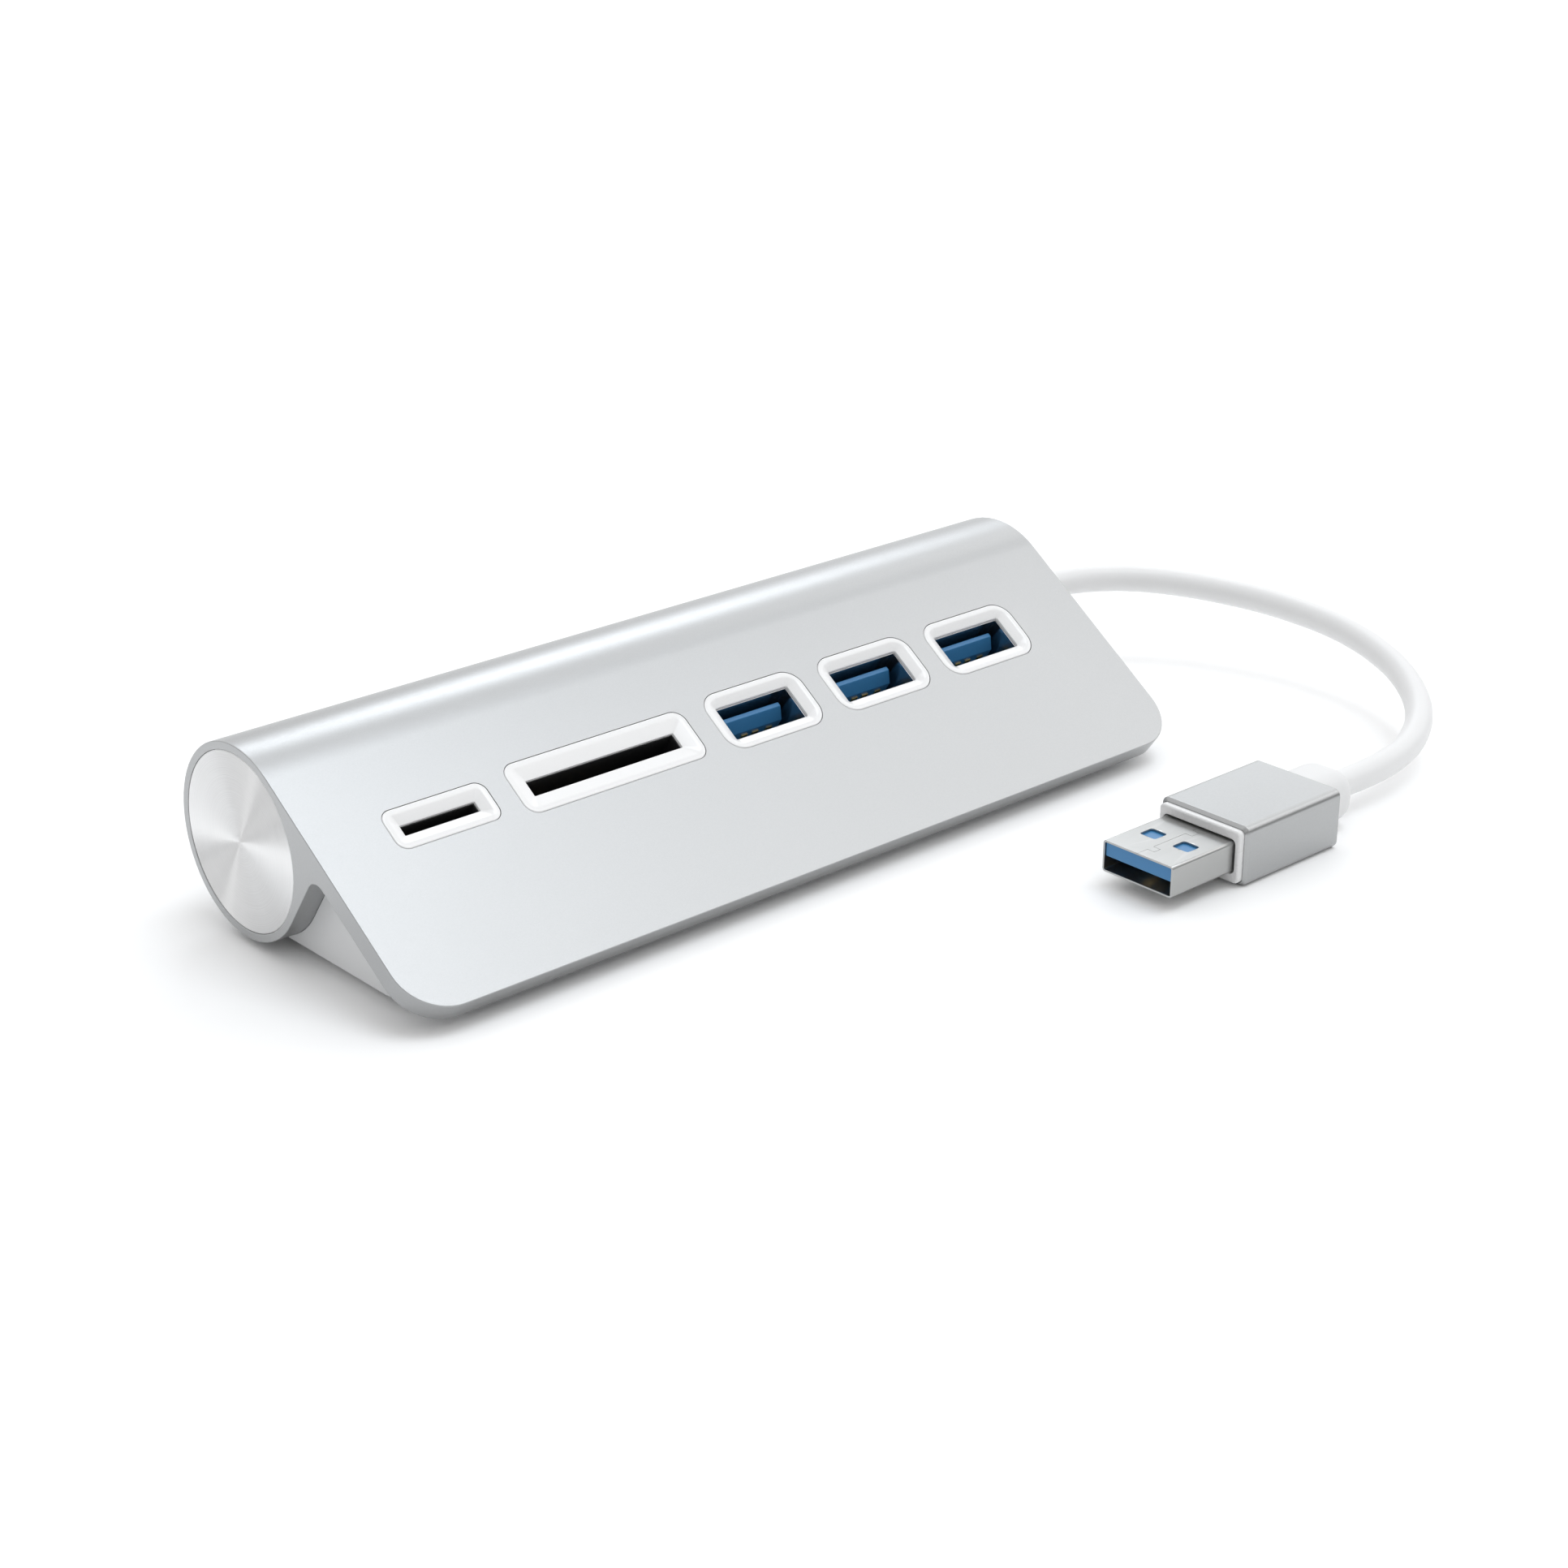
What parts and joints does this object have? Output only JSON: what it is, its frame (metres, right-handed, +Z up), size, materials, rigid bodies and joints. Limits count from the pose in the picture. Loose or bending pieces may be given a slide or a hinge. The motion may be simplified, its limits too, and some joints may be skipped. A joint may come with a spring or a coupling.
{
  "type": "usb hub",
  "caption": "Desktop USB hub and card reader: aluminium tube-and-plate body, sloping port plate, turned end caps, short white lead with a metal-sleeved plug.",
  "frame": {"origin": "under the middle of the body's box, without the lead and plug, on the surface it stands on", "axes": "+X along the body, to the right as seen from the port plate; -Y is the side the port plate faces; +Z up"},
  "size_m": [0.175, 0.0869, 0.0272],
  "materials": {
    "body_aluminium": "fine bead-blasted and clear anodised, satin",
    "base_plastic": "light grey moulded plastic, fine texture",
    "screw_steel": "zinc plated",
    "foot_rubber": "grey silicone rubber",
    "spun_aluminium": "turned with fine concentric rings",
    "inner_plastic": "plain moulded",
    "white_rubber": "soft white moulding, satin",
    "bezel_plastic": "white, semi-gloss",
    "port_steel": "bright nickel-plated sheet",
    "blue_plastic": "blue moulding, satin",
    "gold_contact": "gold plated",
    "black_plastic": "black glass-filled nylon",
    "board_laminate": "green solder mask over glass-fibre laminate",
    "capacitor_can": "aluminium cans with a printed band",
    "header_plastic": "natural nylon",
    "wire_insulation": "coloured wire insulation",
    "cable_jacket": "smooth white jacket, satin",
    "sleeve_aluminium": "fine bead-blasted and anodised, satin",
    "white_plastic": "white, semi-gloss",
    "plug_steel": "nickel-plated steel, satin"
  },
  "bodies": {
    "root": {"body_extrusion": "body_aluminium", "base_cover": "base_plastic", "base_screws": "screw_steel", "board_screws": "screw_steel", "rubber_foot_1": "foot_rubber", "rubber_foot_2": "foot_rubber", "rubber_foot_3": "foot_rubber", "rubber_foot_4": "foot_rubber", "end_cap_left": "spun_aluminium", "end_cap_right": "spun_aluminium", "end_plug_left": "inner_plastic", "end_plug_right": "inner_plastic", "cable_boot": "white_rubber", "plug_strain_relief": "white_rubber", "bezel_microsd": "bezel_plastic", "bezel_sd": "bezel_plastic", "bezel_usb_1": "bezel_plastic", "bezel_usb_2": "bezel_plastic", "bezel_usb_3": "bezel_plastic", "usb_shell_1": "port_steel", "usb_shell_2": "port_steel", "usb_shell_3": "port_steel", "sd_socket_cover": "port_steel", "microsd_socket_cover": "port_steel", "crystal": "port_steel", "usb_insulator_1": "blue_plastic", "usb_insulator_2": "blue_plastic", "usb_insulator_3": "blue_plastic", "plug_insulator": "blue_plastic", "usb_contacts_1": "gold_contact", "usb_contacts_2": "gold_contact", "usb_contacts_3": "gold_contact", "sd_contacts": "gold_contact", "microsd_contacts": "gold_contact", "plug_contacts": "gold_contact", "sd_socket": "black_plastic", "microsd_socket": "black_plastic", "hub_chip": "black_plastic", "card_reader_chip": "black_plastic", "voltage_regulator": "black_plastic", "circuit_board": "board_laminate", "capacitors": "capacitor_can", "cable_header": "header_plastic", "cable_leads": "wire_insulation", "cable": "cable_jacket", "plug_sleeve": "sleeve_aluminium", "plug_core": "white_plastic", "plug_shell": "plug_steel"}
  },
  "joints": []
}
